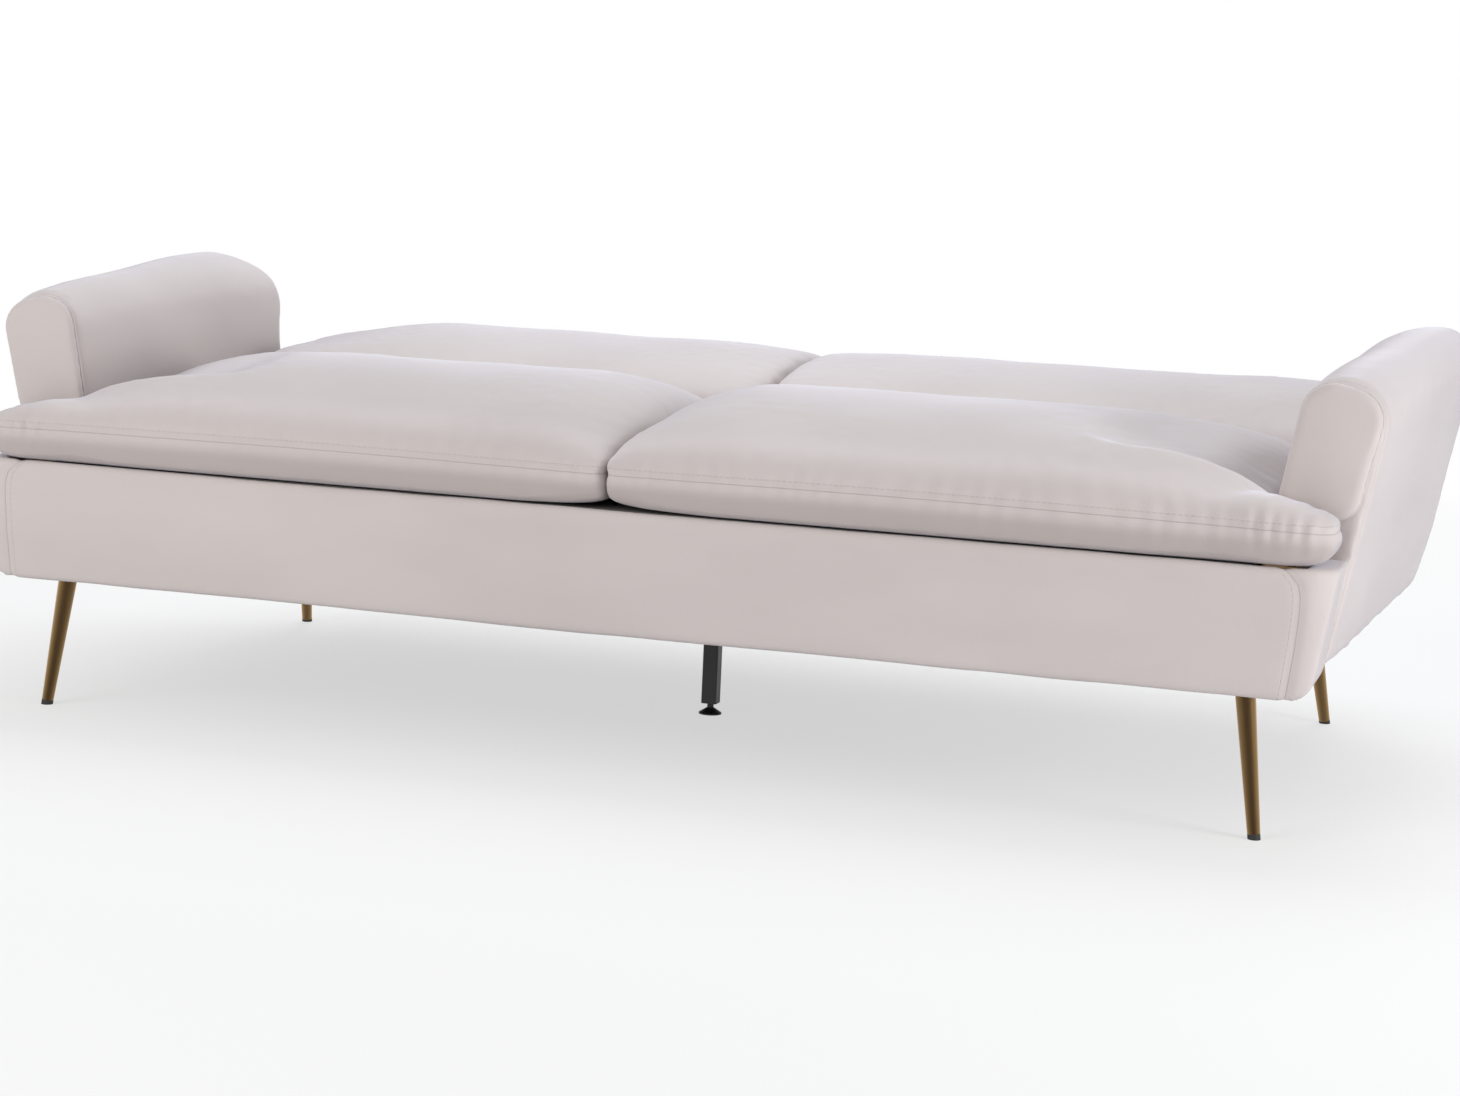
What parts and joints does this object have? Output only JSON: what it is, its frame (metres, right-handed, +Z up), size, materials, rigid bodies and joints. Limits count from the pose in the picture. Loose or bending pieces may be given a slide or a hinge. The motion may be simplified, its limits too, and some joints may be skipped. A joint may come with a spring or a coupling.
{
  "type": "sofa bed",
  "caption": "Sofa bed with a click-clack back, shown folded flat for sleeping: padded seat and back cushions, curved arms, conical metal legs and a middle leg.",
  "frame": {"origin": "on the floor, in the middle of the width and of the depth with the back folded flat", "axes": "+X to the right seen from the front, +Y from the front edge of the seat to the back, +Z up"},
  "size_m": [2.1532, 1.1899, 0.6428],
  "materials": {
    "velvet": "short-pile velvet, light greige with a soft sheen",
    "pine": "planed softwood, unpainted",
    "board": "raw wood board",
    "felt": "needled felt pad",
    "dust_cloth": "thin black non-woven cloth",
    "spring_steel": "oiled spring wire",
    "zinc_steel": "zinc plated",
    "black_steel": "black powder coat, satin",
    "antique_brass": "antique brass plating, satin",
    "black_plastic": "moulded, matte black"
  },
  "bodies": {
    "base": {"arm_bolts": "zinc_steel", "arm_cover_left": "velvet", "arm_cover_right": "velvet", "arm_front_panel_left": "velvet", "arm_front_panel_right": "velvet", "arm_panels": "board", "arm_posts": "pine", "arm_spacers": "pine", "arm_top_rails": "pine", "arm_welts": "velvet", "base_front_cover": "velvet", "base_rear_cover": "velvet", "centre_beam": "pine", "corner_blocks": "pine", "corner_cover_left": "velvet", "corner_cover_right": "velvet", "dust_cover": "dust_cloth", "front_leg_cap_left": "black_plastic", "front_leg_cap_right": "black_plastic", "front_leg_left": "antique_brass", "front_leg_right": "antique_brass", "front_rail": "pine", "hinge_seat_plate_left": "zinc_steel", "hinge_seat_plate_right": "zinc_steel", "hinge_seat_screws": "zinc_steel", "leg_plate_screws": "zinc_steel", "leg_plates": "black_steel", "middle_leg_insert": "black_plastic", "middle_leg_tube": "black_steel", "pawl_pins": "zinc_steel", "pawl_springs": "spring_steel", "pivot_pins": "zinc_steel", "rear_leg_cap_left": "black_plastic", "rear_leg_cap_right": "black_plastic", "rear_leg_left": "antique_brass", "rear_leg_right": "antique_brass", "rear_rail": "pine", "seat_cushion_left": "velvet", "seat_cushion_right": "velvet", "seat_felt": "felt", "seat_springs": "spring_steel", "side_rail_left": "pine", "side_rail_right": "pine", "spring_clips": "zinc_steel", "spring_rail": "pine"},
    "back": {"back_lower_rail": "pine", "back_upper_rail": "pine", "back_centre_rail": "pine", "back_end_rail_left": "pine", "back_end_rail_right": "pine", "back_slats": "pine", "back_rear_cover": "velvet", "back_cushion_left": "velvet", "back_cushion_right": "velvet", "hinge_back_plate_left": "zinc_steel", "hinge_back_plate_right": "zinc_steel", "hinge_back_screws": "zinc_steel"},
    "pawl_left": {"ratchet_pawl_left": "zinc_steel"},
    "pawl_right": {"ratchet_pawl_right": "zinc_steel"},
    "foot": {"levelling_foot": "black_plastic"}
  },
  "joints": [
    {"name": "back_hinge", "type": "hinge", "parent": "base", "child": "back", "pos_m": [0, 0.15, 0.4], "axis": [1, 0, 0], "range_deg": [0, 78]},
    {"name": "pawl_left_hinge", "type": "hinge", "parent": "base", "child": "pawl_left", "pos_m": [-0.86475, 0.198, 0.328], "axis": [1, 0, 0], "range_deg": [0, 10]},
    {"name": "pawl_right_hinge", "type": "hinge", "parent": "base", "child": "pawl_right", "pos_m": [0.86475, 0.198, 0.328], "axis": [1, 0, 0], "range_deg": [0, 10]},
    {"name": "foot_slide", "type": "slide", "parent": "base", "child": "foot", "axis": [0, 0, 1], "range_m": [0, 0.006]}
  ],
  "couplings": [
    {"joint": "pawl_right_hinge", "follows": "pawl_left_hinge", "ratio": 1}
  ]
}
